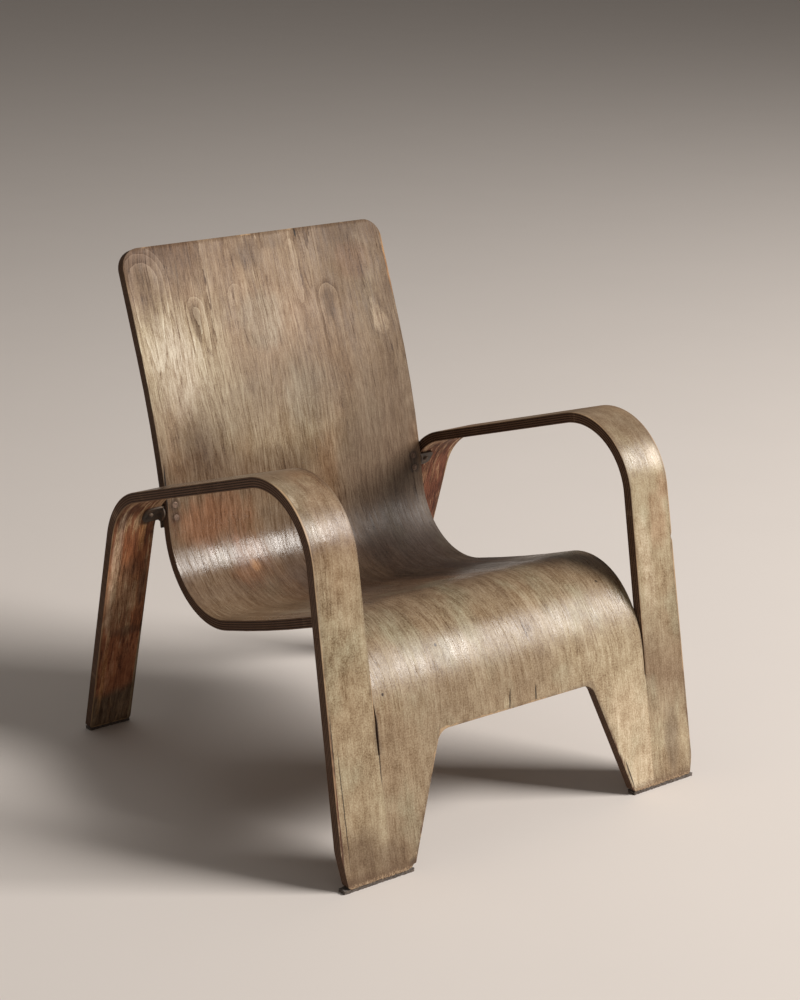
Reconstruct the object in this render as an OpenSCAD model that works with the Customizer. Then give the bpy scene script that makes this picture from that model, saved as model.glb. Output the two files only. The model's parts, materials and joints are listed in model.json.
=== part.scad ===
// Low armchair bent from one laminated sheet.
// The front panel stands on two legs. Above it two slits part the sheet in three: the middle rolls back
// into the seat and the backrest, and the outer strips bend into armrests and down into the rear legs.
// Steel brackets tie the backrest to the rear bends of the arms.
// Millimetres, +Z up, the front of the chair faces -Y, and left is the -X side.

/* [Sheet] */
// Thickness of one ply
ply_t = 1.6; // [1:0.1:2]
// Thickness of the glue line between two plies
glue_t = 0.1; // [0.05:0.05:0.2]
// Overall width across the front feet
front_foot_span = 640; // [600:1:700]
// Width across the outer edges of the armrests
arm_span = 630; // [600:1:680]
// Distance between the centre lines of the two slits
slit_gauge = 483.5; // [460:0.5:500]
// Width of the slits where they start in the front panel
kerf = 2; // [1.5:0.5:3]
// Height of the slits' lower ends, measured up the front panel
slit_start = 168; // [150:1:200]

/* [Front legs] */
// Lean of the front panel away from upright
front_lean = 9.5; // [4:0.5:14]
// Straight length of the front legs' outer face, below the arm bends
front_leg_length = 434; // [380:1:480]
// Height of the arch's edge, measured up the front panel
arch_height = 177; // [140:1:200]
// Width of the arch along its top edge
arch_top_w = 275; // [220:1:320]
// Width between the front feet at the floor
arch_foot_w = 403; // [360:1:430]
// Radius of the arch's upper corners
arch_corner_r = 22; // [8:1:40]
// Radius of the feet's lower corners
foot_corner_r = 5; // [2:1:10]

/* [Arms and rear legs] */
// Outer radius of the front arm bends
arm_front_r = 114; // [90:1:140]
// Fall of the armrests towards the rear
arm_slope = 17.3; // [8:0.1:22]
// Straight length of the armrests' top face
arm_length = 317; // [280:1:360]
// Outer radius of the rear arm bends
arm_rear_r = 118; // [90:1:150]
// Lean of the rear legs away from upright
rear_lean = 17; // [10:0.5:22]
// Inward shift of each rear foot against its armrest
rear_toe_in = 8; // [0:1:15]

/* [Seat and back] */
// Straight length of the panel below the seat roll
seat_rise = 205.5; // [200:0.5:240]
// Outer radius of the seat roll's lower third
roll_lower_r = 155; // [120:1:180]
// Outer radius of the rest of the seat roll
roll_upper_r = 109; // [90:1:140]
// Fall of the seat behind the roll
seat_slope = 19.8; // [14:0.1:24]
// Inner radius of the seat's shallow dish
dish_r = 2735; // [1500:5:4000]
// Angle through which the dish turns up
dish_turn = 4.6; // [3.5:0.1:6]
// Inner radius of the bend between seat and back
lap_r = 114.5; // [90:0.5:140]
// Lean of the backrest where it leaves the bend
back_lean = 8.3; // [6:0.1:12]
// Radius in which the backrest curls away from the sitter
back_curl_r = 1250; // [900:5:2000]
// Angle through which the backrest curls
back_curl_turn = 12.1; // [8:0.1:16]
// Straight length between two bends that follow each other
short_length = 2; // [1:0.5:6]
// Straight length of the top of the backrest
back_top_length = 159.5; // [120:0.5:200]
// Width of the backrest at its top
back_w = 474; // [440:1:490]
// Radius of the backrest's top corners
back_corner_r = 31; // [20:1:80]

/* [Brackets and fasteners] */
// Thickness of the bracket steel
steel_t = 3; // [2:0.5:3]
// Width of the bracket leaf behind the backrest
back_leaf_w = 34; // [28:1:50]
// Height of the bracket leaf behind the backrest
back_leaf_h = 46; // [40:1:60]
// Length of the bracket leaf under the arm, outside the slit
arm_leaf_l = 27; // [24:1:40]
// Width of the bracket leaf under the arm, along the bend
arm_leaf_w = 28; // [22:1:30]
// Corner radius of the leaf behind the backrest
back_leaf_corner_r = 6; // [2:1:10]
// Corner radius of the leaf under the arm
arm_leaf_corner_r = 9; // [2:1:10]
// Radius of the bracket web in the slit
web_r = 13; // [11:1:14]
// Distance of the bracket's middle above the bend between seat and back
bracket_rise = 32; // [28:1:60]
// Distance of the bracket's middle before the end of the rear arm bend
bracket_setback = 36; // [30:1:50]
// Distance between the two bolts through the backrest
bolt_pitch = 19; // [16:1:24]
// Distance of the bolts from the edge of the backrest
bolt_edge = 14.5; // [12:0.5:20]
// Diameter of the bolts through the backrest
bolt_d = 5; // [4:0.5:6]
// Diameter of the bolts' countersunk heads
bolt_head_d = 9.5; // [8:0.5:12]
// Width of the nuts across their flats
nut_flats = 8; // [7:0.5:10]
// Height of the nuts
nut_h = 4; // [3:0.5:5]
// Distance of the arm screw from the strip's inner edge
screw_edge = 15.5; // [12:0.5:18]
// Diameter of the arm screws
screw_d = 4.5; // [3:0.5:5]
// Depth of the arm screws in the wood
screw_bite = 11; // [6:0.5:12]
// Diameter of the arm screws' round heads
screw_head_d = 9; // [8:0.5:12]
// Height of the arm screws' round heads
screw_head_h = 3; // [2:0.5:4]
// Clearance round shanks and between steel and wood
fit_gap = 0.2; // [0.1:0.05:0.3]

/* [Pads] */
// Thickness of the pads under the feet
pad_t = 4.8; // [3:0.1:8]
// Distance by which the pads stand back from the feet's outlines
pad_inset = 0.4; // [0:0.1:2]

/* [Hidden] */
ply_count = 9;
ply_step = ply_t + glue_t;
sheet_t = ply_count * ply_step - glue_t;
lead = 20;
$fn = 96;

face_tone = [0.56, 0.47, 0.38];
long_tone = [0.45, 0.34, 0.25];
cross_tone = [0.24, 0.17, 0.13];
steel_tone = [0.13, 0.13, 0.14];
bolt_tone = [0.42, 0.4, 0.38];
pad_tone = [0.18, 0.16, 0.15];

// A path is [start point, start heading, runs] in the side view, with points as [y, z].
// Headings are degrees from upright towards the rear. The sheet's outer face lies on the path,
// and depth is counted from it to the right of the way the path runs.
function straight(length) = [length, 0, 0];
function bend(radius, angle) = [radius * abs(angle) * PI / 180, radius, angle];
function ahead(heading) = [sin(heading), cos(heading)];
function inward(heading) = [cos(heading), -sin(heading)];
function side_of(run) = sign(run[2]);

function sum(list, i = 0) = i == len(list) ? 0 : list[i] + sum(list, i + 1);

// The point and heading after going a distance along one run
function go(place, run, distance) =
  run[2] == 0
    ? [place[0] + distance * ahead(place[1]), place[1]]
    : let (heading = place[1] + run[2] * distance / run[0])
      [place[0] + side_of(run) * run[1] * (inward(place[1]) - inward(heading)), heading];

function run_start(path, i) =
  i == 0 ? [path[0], path[1]] : go(run_start(path, i - 1), path[2][i - 1], path[2][i - 1][0]);
function travelled(path, i) = i == 0 ? 0 : travelled(path, i - 1) + path[2][i - 1][0];
function path_length(path) = travelled(path, len(path[2]));
function run_at(path, s, i = 0) =
  i == len(path[2]) - 1 || s < travelled(path, i + 1) ? i : run_at(path, s, i + 1);
function pose(path, s) =
  let (i = run_at(path, s))
  go(run_start(path, i), path[2][i], s - travelled(path, i));

// The radius of a bend at a depth, and the corner in which its two straight neighbours would meet there
function radius_at(run, depth) = run[1] - side_of(run) * depth;
function corner_at(place, run, depth) =
  place[0] + depth * inward(place[1]) + radius_at(run, depth) * tan(abs(run[2]) / 2) * ahead(place[1]);

// Arm path: up the front leg, over the armrest and down the rear leg to the pad
function arm_runs(rear_leg) = [
  straight(front_leg_length),
  bend(arm_front_r, 90 + arm_slope - front_lean),
  straight(arm_length),
  bend(arm_rear_r, 90 - arm_slope - rear_lean),
  straight(rear_leg)
];
front_run = [[0, pad_t], front_lean, arm_runs(1)];
rear_bend_end = run_start(front_run, 4)[0];
rear_leg_length = (rear_bend_end[1] - pad_t) / cos(rear_lean);
depth = rear_bend_end[0] + (rear_bend_end[1] - pad_t) * tan(rear_lean);
foot_start = [-depth / 2, pad_t];
arm_path = [foot_start, front_lean, arm_runs(rear_leg_length)];

// Centre path: up the front panel, over the seat roll, along the seat and up the backrest
roll_turn = 90 + seat_slope - front_lean;
lap_turn = 90 + seat_slope - dish_turn - back_lean;
centre_path = [foot_start, front_lean, [
  straight(seat_rise),
  bend(roll_lower_r, roll_turn / 3),
  straight(short_length),
  bend(roll_upper_r, roll_turn * 2 / 3),
  straight(short_length),
  bend(dish_r, -dish_turn),
  straight(short_length),
  bend(lap_r, -lap_turn),
  straight(short_length),
  bend(back_curl_r, back_curl_turn),
  straight(back_top_length)
]];
centre_end = path_length(centre_path);
back_start = travelled(centre_path, 8);

// Half widths of the outline
strip_out = arm_span / 2;
strip_in = slit_gauge / 2 + kerf / 2;
centre_front = slit_gauge / 2 - kerf / 2;
centre_rear = back_w / 2;
front_leg_top = pose(arm_path, front_leg_length)[0];
arm_middle_y = round(pose(arm_path, travelled(arm_path, 2) + arm_length / 2)[0][0]);
slit_y = pose(centre_path, slit_start)[0][0];
top_y = pose(centre_path, centre_end)[0][0];
arch_z = pose(arm_path, arch_height)[0][1];
high = 1000;
arc_pass = 0.01;

// Half width of the middle sheet, which narrows evenly from the slits to the top of the backrest
centre_taper = (centre_front - centre_rear) / (top_y - slit_y);
function centre_half(y) = centre_front - centre_taper * (y - slit_y);

// Places of the brackets and their fasteners along both paths
back_place = back_start + bracket_rise;
arm_place = travelled(arm_path, 4) - bracket_setback;
bracket_edge = centre_half(pose(centre_path, back_place)[0][0]);
web_x = (bracket_edge + strip_in) / 2;
bolt_x = bracket_edge - bolt_edge;
screw_x = strip_in + screw_edge;
leaf_depth = sheet_t + fit_gap;

// Polygon with its corners rounded, each by its own radius, where 0 leaves a corner sharp
module rounded(points, radii) {
  n = len(points);
  unit = function (v) v / norm(v);
  from = [for (i = [0 : n - 1]) unit(points[(i + n - 1) % n] - points[i])];
  to = [for (i = [0 : n - 1]) unit(points[(i + 1) % n] - points[i])];
  area = sum([for (i = [0 : n - 1]) cross(points[i], points[(i + 1) % n])]);
  convex = [for (i = [0 : n - 1]) cross(to[i], from[i]) * area > 0];
  difference() {
    union() {
      polygon(points);
      for (i = [0 : n - 1])
        if (radii[i] > 0 && !convex[i]) corner_rest(points[i], from[i], to[i], radii[i]);
    }
    for (i = [0 : n - 1])
      if (radii[i] > 0 && convex[i]) corner_rest(points[i], from[i], to[i], radii[i]);
  }
}

// What a corner, its edges leaving in two directions, has outside its round, reaching past both edges.
// The round's arc passes the edges by a trace, so that it cuts them cleanly.
module corner_rest(corner, from, to, radius) {
  half = acos(from * to) / 2;
  along = (from + to) / norm(from + to);
  centre = corner + along * radius / sin(half);
  reach = radius / tan(half);
  wider = 1 + 3 / radius;
  pass = arc_pass + radius * arc_pass / 1000;
  difference() {
    polygon([for (p = [centre, corner + from * reach, corner, corner + to * reach])
      centre + wider * (p - centre)]);
    translate(centre - along * pass / sin(half)) circle(r = radius);
  }
}

// Side view of all that lies behind a path at a depth, in the frame of its first run. Both ends are
// drawn out, and it closes round the given points.
module behind(runs, depth, extra, around) {
  path = [[0, 0], 0, runs];
  last = run_start(path, len(runs));
  bends = [for (i = [0 : len(runs) - 1]) if (runs[i][2] != 0) i];
  rounded(
    [
      [depth, -extra],
      for (i = bends) corner_at(run_start(path, i), runs[i], depth),
      last[0] + depth * inward(last[1]) + extra * ahead(last[1]),
      for (p = around) p
    ],
    [0, for (i = bends) radius_at(runs[i], depth), 0, for (p = around) 0]
  );
}

// Side view in the frame of the front panel, drawn out sideways from x1 to x2
module side_prism(x1, x2) {
  translate([x1, 0, 0]) rotate([90, 0, 90]) linear_extrude(x2 - x1)
    translate(foot_start) rotate(-front_lean) children();
}

// Side view of a layer along a path between two depths, from a little below the slits on
module layer_profile(runs, near, far, open_behind) {
  difference() {
    behind(runs, near, lead, open_behind ? [] : [[high, high], [high, -lead]]);
    behind(runs, far, 2 * lead, open_behind ? [] : [[high + lead, high + lead], [high + lead, -2 * lead]]);
    translate([-lead, -3 * lead]) square([sheet_t + 2 * lead, slit_start + 2 * lead]);
  }
}

// Frame on a path: x across the chair, y along the path, z out of the outer face
module on_path(place, x = 0) {
  translate([x, place[0][0], place[0][1]]) rotate([90 - place[1], 0, 0]) children();
}

// Front view drawn out rearwards from y1 to y2
module front_prism(y1, y2) {
  translate([0, y2, 0]) rotate([90, 0, 0]) linear_extrude(y2 - y1) children();
}

// Front view of the whole panel with its legs and arch, cut off well above the slits
module panel_outline() {
  foot = front_foot_span / 2;
  rounded(
    [
      [-foot, pad_t], [-arch_foot_w / 2, pad_t], [-arch_top_w / 2, arch_z], [arch_top_w / 2, arch_z],
      [arch_foot_w / 2, pad_t], [foot, pad_t], [strip_out, front_leg_top[1]], [strip_out, high],
      [-strip_out, high], [-strip_out, front_leg_top[1]]
    ],
    [
      foot_corner_r, foot_corner_r, arch_corner_r, arch_corner_r,
      foot_corner_r, foot_corner_r, 0, 0, 0, 0
    ]
  );
}

// Front view of a rear leg on the +X side, with the foot shifted inwards
module rear_outline() {
  rounded(
    [
      [strip_in - rear_toe_in, pad_t], [strip_out - rear_toe_in, pad_t],
      [strip_out, rear_bend_end[1]], [strip_out, high], [strip_in, high], [strip_in, rear_bend_end[1]]
    ],
    [foot_corner_r, foot_corner_r, 0, 0, 0, 0]
  );
}

module front_panel(near, far) {
  intersection() {
    side_prism(-high, high) translate([near, -lead]) square([far - near, slit_start + lead]);
    front_prism(-high, high) panel_outline();
  }
}

module arm_strip(near, far) {
  intersection() {
    side_prism(0, high) layer_profile(arm_path[2], near, far, true);
    union() {
      front_prism(-high, arm_middle_y)
        intersection() {
          panel_outline();
          translate([strip_in, 0]) square([high, high]);
        }
      front_prism(arm_middle_y, high) rear_outline();
    }
  }
}

module centre_sheet(near, far) {
  difference() {
    intersection() {
      side_prism(-high, high) layer_profile(centre_path[2], near, far, false);
      front_prism(-high, high) panel_outline();
      linear_extrude(high)
        polygon([for (end = [[-1, slit_y - lead], [1, slit_y - lead], [1, top_y + lead], [-1, top_y + lead]])
          [end[0] * centre_half(end[1]), end[1]]]);
    }
    back_trim();
  }
}

// What is cut away above the backrest and outside the rounds of its top corners
module back_trim() {
  top = pose(centre_path, centre_end);
  down = [centre_taper * sin(top[1]), -1];
  on_path(top)
    translate([0, 0, -2 * sheet_t]) linear_extrude(3 * sheet_t) {
      translate([-back_w, 0]) square([2 * back_w, 2 * lead]);
      for (side = [0, 1]) mirror([side, 0])
        corner_rest([centre_half(top_y), 0], down / norm(down), [-1, 0], back_corner_r);
    }
}

// Bolts through the backrest and arm screws of the +X side, as solids or grown by a clearance
module back_bolts(grow = 0) {
  for (k = [-1, 1])
    on_path(pose(centre_path, back_place + k * bolt_pitch / 2), bolt_x) {
      sink = (bolt_head_d - bolt_d) / 2;
      length = leaf_depth + steel_t + nut_h + 1;
      translate([0, 0, -length - grow]) cylinder(d = bolt_d + 2 * grow, h = length + grow);
      translate([0, 0, -sink]) cylinder(d1 = bolt_d + 2 * grow, d2 = bolt_head_d + 2 * grow, h = sink);
    }
}

module arm_screw(grow = 0) {
  head = leaf_depth + steel_t + fit_gap;
  on_path(pose(arm_path, arm_place), screw_x) {
    translate([0, 0, -head]) cylinder(d = screw_d + 2 * grow, h = head - sheet_t + screw_bite + grow);
    if (grow == 0) translate([0, 0, -head]) round_head();
  }
}

// Domed screw head that hangs below the origin
module round_head() {
  dome_r = (screw_head_d * screw_head_d / 4 + screw_head_h * screw_head_h) / (2 * screw_head_h);
  intersection() {
    translate([0, 0, dome_r - screw_head_h]) sphere(r = dome_r);
    translate([0, 0, -screw_head_h]) cylinder(d = screw_head_d, h = screw_head_h);
  }
}

module fastener_holes() {
  for (side = [0, 1]) mirror([side, 0, 0]) {
    back_bolts(fit_gap);
    arm_screw(fit_gap);
  }
}

module ply(index) {
  near = index * ply_step;
  far = near + ply_t;
  difference() {
    union() {
      front_panel(near, far);
      centre_sheet(near, far);
      arm_strip(near, far);
      mirror([1, 0, 0]) arm_strip(near, far);
    }
    fastener_holes();
  }
}

// Bracket of the +X side: a leaf behind the backrest, a web in the slit and a leaf under the arm
module bracket() {
  back_mid = pose(centre_path, back_place);
  arm_mid = pose(arm_path, arm_place);
  web_1 = web_x - steel_t / 2;
  web_2 = web_x + steel_t / 2;
  middle = leaf_depth + steel_t / 2;
  difference() {
    union() {
      leaf(back_mid, back_curl_r, back_leaf_h)
        rounded_end(web_2, web_2 - back_leaf_w, back_leaf_h, back_leaf_corner_r);
      leaf(arm_mid, arm_rear_r, arm_leaf_w)
        rounded_end(web_1, strip_in + arm_leaf_l, arm_leaf_w, arm_leaf_corner_r);
      translate([web_1, 0, 0]) rotate([90, 0, 90]) linear_extrude(steel_t)
        link(
          back_mid[0] + middle * inward(back_mid[1]),
          arm_mid[0] + middle * inward(arm_mid[1]),
          web_r
        );
    }
    back_bolts(fit_gap);
    arm_screw(fit_gap);
  }
}

// Steel leaf with the given outline that lies against the inner face of a bend
module leaf(place, bend_r, width) {
  outer = bend_r - leaf_depth;
  on_path(place)
    intersection() {
      translate([0, 0, -leaf_depth - 2 * steel_t]) linear_extrude(leaf_depth + 2 * steel_t) children();
      translate([-high / 2, 0, -bend_r]) rotate([0, 90, 0])
        difference() {
          cylinder(r = outer, h = high);
          translate([0, 0, -1]) cylinder(r = outer - steel_t, h = high + 2);
        }
    }
}

// Outline from x1 to x2 with the corners rounded at x2
module rounded_end(x1, x2, width, corner_r) {
  rounded(
    [[x1, -width / 2], [x2, -width / 2], [x2, width / 2], [x1, width / 2]],
    [0, corner_r, corner_r, 0]
  );
}

// Plate with round ends about two points
module link(a, b, r) {
  across = (r - arc_pass) * (norm(b - a) < arc_pass ? [0, 1] : [b[1] - a[1], a[0] - b[0]] / norm(b - a));
  translate(a) circle(r = r);
  translate(b) circle(r = r);
  polygon([a + across, b + across, b - across, a - across]);
}

module back_nuts() {
  for (k = [-1, 1])
    on_path(pose(centre_path, back_place + k * bolt_pitch / 2), bolt_x)
      translate([0, 0, -leaf_depth - steel_t - nut_h - fit_gap])
        difference() {
          cylinder(d = nut_flats / cos(30), h = nut_h, $fn = 6);
          translate([0, 0, -1]) cylinder(d = bolt_d + 2 * fit_gap, h = nut_h + 2);
        }
}

// Pad under a foot that spans x1 to x2 and y1 to y2
module pad(x1, x2, y1, y2) {
  corner = 2;
  linear_extrude(pad_t)
    rounded(
      [
        [x1 + pad_inset, y1 + pad_inset], [x2 - pad_inset, y1 + pad_inset],
        [x2 - pad_inset, y2 - pad_inset], [x1 + pad_inset, y2 - pad_inset]
      ],
      [corner, corner, corner, corner]
    );
}

module pad_front() {
  pad(arch_foot_w / 2, front_foot_span / 2, -depth / 2, -depth / 2 + sheet_t / cos(front_lean));
}

module pad_rear() {
  pad(strip_in - rear_toe_in, strip_out - rear_toe_in, depth / 2 - sheet_t / cos(rear_lean), depth / 2);
}

module ply_1_face() color(face_tone) ply(0);
module ply_2_cross() color(cross_tone) ply(1);
module ply_3_long() color(long_tone) ply(2);
module ply_4_cross() color(cross_tone) ply(3);
module ply_5_core() color(long_tone) ply(4);
module ply_6_cross() color(cross_tone) ply(5);
module ply_7_long() color(long_tone) ply(6);
module ply_8_cross() color(cross_tone) ply(7);
module ply_9_face() color(face_tone) ply(8);
module bracket_left() color(steel_tone) mirror([1, 0, 0]) bracket();
module bracket_right() color(steel_tone) bracket();
module back_bolts_left() color(bolt_tone) mirror([1, 0, 0]) back_bolts();
module back_bolts_right() color(bolt_tone) back_bolts();
module back_nuts_left() color(bolt_tone) mirror([1, 0, 0]) back_nuts();
module back_nuts_right() color(bolt_tone) back_nuts();
module arm_screw_left() color(bolt_tone) mirror([1, 0, 0]) arm_screw();
module arm_screw_right() color(bolt_tone) arm_screw();
module pad_front_left() color(pad_tone) mirror([1, 0, 0]) pad_front();
module pad_front_right() color(pad_tone) pad_front();
module pad_rear_left() color(pad_tone) mirror([1, 0, 0]) pad_rear();
module pad_rear_right() color(pad_tone) pad_rear();

ply_1_face();
ply_2_cross();
ply_3_long();
ply_4_cross();
ply_5_core();
ply_6_cross();
ply_7_long();
ply_8_cross();
ply_9_face();
bracket_left();
bracket_right();
back_bolts_left();
back_bolts_right();
back_nuts_left();
back_nuts_right();
arm_screw_left();
arm_screw_right();
pad_front_left();
pad_front_right();
pad_rear_left();
pad_rear_right();
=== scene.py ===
"""Low armchair bent from one nine-ply sheet: its looks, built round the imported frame.

Each ply is laid out flat with its slits, arch and rounds, given its thickness, and then bent
along the two side paths that the frame has. Lengths are written in millimetres times MM.
"""

import json
import logging
import math
from collections.abc import Callable, Sequence
from dataclasses import dataclass, field
from enum import Enum
from typing import TypeVar

import bmesh
import bpy
import numpy as np
from mathutils import Matrix, Vector

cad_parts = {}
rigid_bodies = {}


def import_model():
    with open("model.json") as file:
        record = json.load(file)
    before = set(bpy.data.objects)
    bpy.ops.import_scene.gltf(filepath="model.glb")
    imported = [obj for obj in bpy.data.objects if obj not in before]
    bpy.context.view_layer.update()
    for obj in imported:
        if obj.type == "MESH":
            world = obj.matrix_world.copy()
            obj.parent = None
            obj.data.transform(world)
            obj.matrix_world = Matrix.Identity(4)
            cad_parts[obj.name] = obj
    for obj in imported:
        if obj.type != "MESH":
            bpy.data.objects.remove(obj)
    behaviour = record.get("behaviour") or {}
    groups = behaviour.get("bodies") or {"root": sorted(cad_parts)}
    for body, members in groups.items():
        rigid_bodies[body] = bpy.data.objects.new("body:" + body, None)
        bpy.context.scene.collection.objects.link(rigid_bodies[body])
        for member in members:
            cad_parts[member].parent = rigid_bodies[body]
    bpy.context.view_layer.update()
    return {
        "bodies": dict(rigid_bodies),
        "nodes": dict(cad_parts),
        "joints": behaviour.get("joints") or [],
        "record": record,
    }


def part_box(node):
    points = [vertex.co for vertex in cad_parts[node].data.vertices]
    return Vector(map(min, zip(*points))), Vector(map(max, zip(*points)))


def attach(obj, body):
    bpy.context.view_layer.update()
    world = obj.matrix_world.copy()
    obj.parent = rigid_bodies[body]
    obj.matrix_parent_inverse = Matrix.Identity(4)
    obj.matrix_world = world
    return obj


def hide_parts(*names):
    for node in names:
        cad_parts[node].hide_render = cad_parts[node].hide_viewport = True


MM = 0.001
BODY = "root"
UV_NAME = "sheet"
log = logging.getLogger("armchair")

Point = tuple[float, float]
Triple = tuple[float, float, float]
Colour = Triple
Tones = tuple[tuple[float, Colour], ...]
Element = bmesh.types.BMFace | bmesh.types.BMEdge
Kind = TypeVar("Kind")

# The flat sheet's sizes that its finishes read, in metres: first along it, then across it
SLIT_START = 0.168
ARCH_TOP = 0.177
FRONT_TOP = 0.434
REAR_TOP = 1.0603
CENTRE_END = 1.2679
STRIP_END = 1.4217
ARCH_FOOT = 0.2015
ARCH_SLANT = 0.3616
SLIT = (0.2405, 0.2425)
SLIT_LINE = 0.24175
HALF_WIDTH = 0.315
FOOT_FLARE = 0.005
TOE_IN = 0.008

# A slope so steep that an edge counts for nothing past its end
STEEP = 100.0

# Where the key lamp hangs, in metres
KEY_AT = (4.32, -4.85, 5.13)


def srgb(red: float, green: float, blue: float) -> tuple[float, float, float, float]:
    """Turns a colour of 0 to 255 a channel into the linear colour that a socket takes."""
    linear = [((c / 255 + 0.055) / 1.055) ** 2.4 if c > 10 else c / 255 / 12.92 for c in (red, green, blue)]
    return (linear[0], linear[1], linear[2], 1.0)


class Wire:
    """One output socket, on which Python operators add Math nodes."""

    def __init__(self, shader: "Shader", socket: bpy.types.NodeSocket) -> None:
        """Keeps the socket and the shader that it belongs to."""
        self.shader = shader
        self.socket = socket

    def _math(self, operation: str, *others: "Wire | float", first: "Wire | float | None" = None) -> "Wire":
        """Adds one Math node on this value, with first before it for the reflected operators."""
        values = ([first] if first is not None else []) + [self, *others]
        return self.shader.node("ShaderNodeMath", {"operation": operation}, dict(enumerate(values)))

    def __add__(self, other: "Wire | float") -> "Wire":
        """Adds two values."""
        return self._math("ADD", other)

    __radd__ = __add__

    def __mul__(self, other: "Wire | float") -> "Wire":
        """Multiplies two values."""
        return self._math("MULTIPLY", other)

    __rmul__ = __mul__

    def __sub__(self, other: "Wire | float") -> "Wire":
        """Takes a value from this one."""
        return self._math("SUBTRACT", other)

    def __rsub__(self, other: float) -> "Wire":
        """Takes this value from a number."""
        return self._math("SUBTRACT", first=other)

    def __truediv__(self, other: "Wire | float") -> "Wire":
        """Divides this value."""
        return self._math("DIVIDE", other)

    def __pow__(self, power: float) -> "Wire":
        """Raises this value to a power."""
        return self._math("POWER", power)

    def __abs__(self) -> "Wire":
        """Drops this value's sign."""
        return self._math("ABSOLUTE")

    def fraction(self) -> "Wire":
        """What this value has past its last whole number."""
        return self._math("FRACT")

    def least(self, other: "Wire | float") -> "Wire":
        """The lower of two values."""
        return self._math("MINIMUM", other)

    def most(self, other: "Wire | float") -> "Wire":
        """The higher of two values."""
        return self._math("MAXIMUM", other)

    def ramp(self, low: float, high: float, to_low: float = 0.0, to_high: float = 1.0) -> "Wire":
        """Maps this value from low..high smoothly to to_low..to_high, clamped."""
        settings = {"interpolation_type": "SMOOTHSTEP", "clamp": True}
        inputs = dict(enumerate((self, low, high, to_low, to_high)))
        return self.shader.node("ShaderNodeMapRange", settings, inputs)


class Shader:
    """A material's node tree round one Principled shader."""

    def __init__(self, name: str, **constants: float) -> None:
        """Makes the material.

        Args:
            name: the material's name.
            constants: the Principled sockets that are the same all over, with _ for a space.
        """
        self.material = bpy.data.materials.new(name)
        self.material.use_nodes = True
        self.tree = self.material.node_tree
        self.surface = self.tree.nodes["Principled BSDF"]
        for socket, value in constants.items():
            self.surface.inputs[socket.replace("_", " ")].default_value = value

    def node(self, kind: str, settings: dict, inputs: dict, output: int | str = 0) -> Wire:
        """Adds a node.

        Args:
            kind: the node's type.
            settings: its own settings, set before its sockets. A list under stops makes a ramp's stops.
            inputs: a number, colour, vector or Wire for each socket, by its name or place.
            output: the socket that the result is read from.

        Returns:
            The chosen output.
        """
        made = self.tree.nodes.new(kind)
        for name, value in settings.items():
            if name == "stops":
                self._stops(made.color_ramp, value)
            else:
                setattr(made, name, value)
        for name, value in inputs.items():
            if isinstance(value, Wire):
                self.tree.links.new(value.socket, made.inputs[name])
            else:
                made.inputs[name].default_value = value
        return Wire(self, made.outputs[output])

    @staticmethod
    def _stops(band: bpy.types.ColorRamp, stops: Sequence[tuple[float, Sequence[float]]]) -> None:
        """Sets a colour ramp's stops, each a place from 0 to 1 and a linear colour, in order."""
        while len(band.elements) < len(stops):
            band.elements.new(1.0)
        for element, (place, colour) in zip(band.elements, stops):
            element.position = place
            element.color = colour

    def sheet_place(self) -> tuple[Wire, Wire]:
        """The place on the flat sheet, in metres: across it and along it."""
        uv = self.node("ShaderNodeUVMap", {"uv_map": UV_NAME}, {})
        across = self.node("ShaderNodeSeparateXYZ", {}, {0: uv})
        along = Wire(self, across.socket.node.outputs[1])
        return across, along

    def object_place(self) -> Wire:
        """The place in the object's own coordinates, in metres."""
        return self.node("ShaderNodeTexCoord", {}, {}, "Object")

    def vector(self, x: Wire | float, y: Wire | float, z: Wire | float = 0.0) -> Wire:
        """Puts three values together as a vector."""
        return self.node("ShaderNodeCombineXYZ", {}, {0: x, 1: y, 2: z})

    def noise(self, where: Wire, scale: float, detail: float = 2.0, rough: float = 0.5,
              bend: float = 0.0) -> Wire:
        """Smooth noise from 0 to 1, of so many lumps per unit, octaves, roughness and distortion."""
        inputs = {"Vector": where, "Scale": scale, "Detail": detail, "Roughness": rough, "Distortion": bend}
        return self.node("ShaderNodeTexNoise", {"noise_dimensions": "3D"}, inputs)

    def mix(self, share: Wire | float, below: Wire | Sequence[float], above: Wire | Sequence[float]) -> Wire:
        """Lays a share of the second colour over the first."""
        return self.node("ShaderNodeMix", {"data_type": "RGBA"}, {0: share, 6: below, 7: above}, 2)

    def coat(self, colour: Wire, share: Wire | float, tone: Colour) -> Wire:
        """Lays a share of an sRGB tone over a colour."""
        return self.mix(share, colour, srgb(*tone))

    def shade(self, colour: Wire, amount: Wire, warmth: float = 0.2) -> Wire:
        """Multiplies a colour by an amount, where warmth turns the dark brown."""
        grey = self.vector(amount ** (1.0 - warmth), amount, amount ** (1.0 + warmth))
        return self.node("ShaderNodeVectorMath", {"operation": "MULTIPLY"}, {0: colour, 1: grey})

    def band(self, value: Wire, stops: Sequence[tuple[float, Sequence[float]]]) -> Wire:
        """Reads a colour from a ramp of stops at a value from 0 to 1."""
        return self.node("ShaderNodeValToRGB", {"stops": stops}, {0: value})

    def connect(self, **links: Wire) -> None:
        """Links values to the Principled shader's sockets, named with _ for a space."""
        for socket, value in links.items():
            self.tree.links.new(value.socket, self.surface.inputs[socket.replace("_", " ")])

    def bump(self, height: Wire, strength: float, distance: float) -> None:
        """Raises the surface by a height, where 1 stands out by the distance in metres."""
        inputs = {"Strength": strength, "Distance": distance, "Height": height}
        self.connect(Normal=self.node("ShaderNodeBump", {}, inputs))


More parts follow.
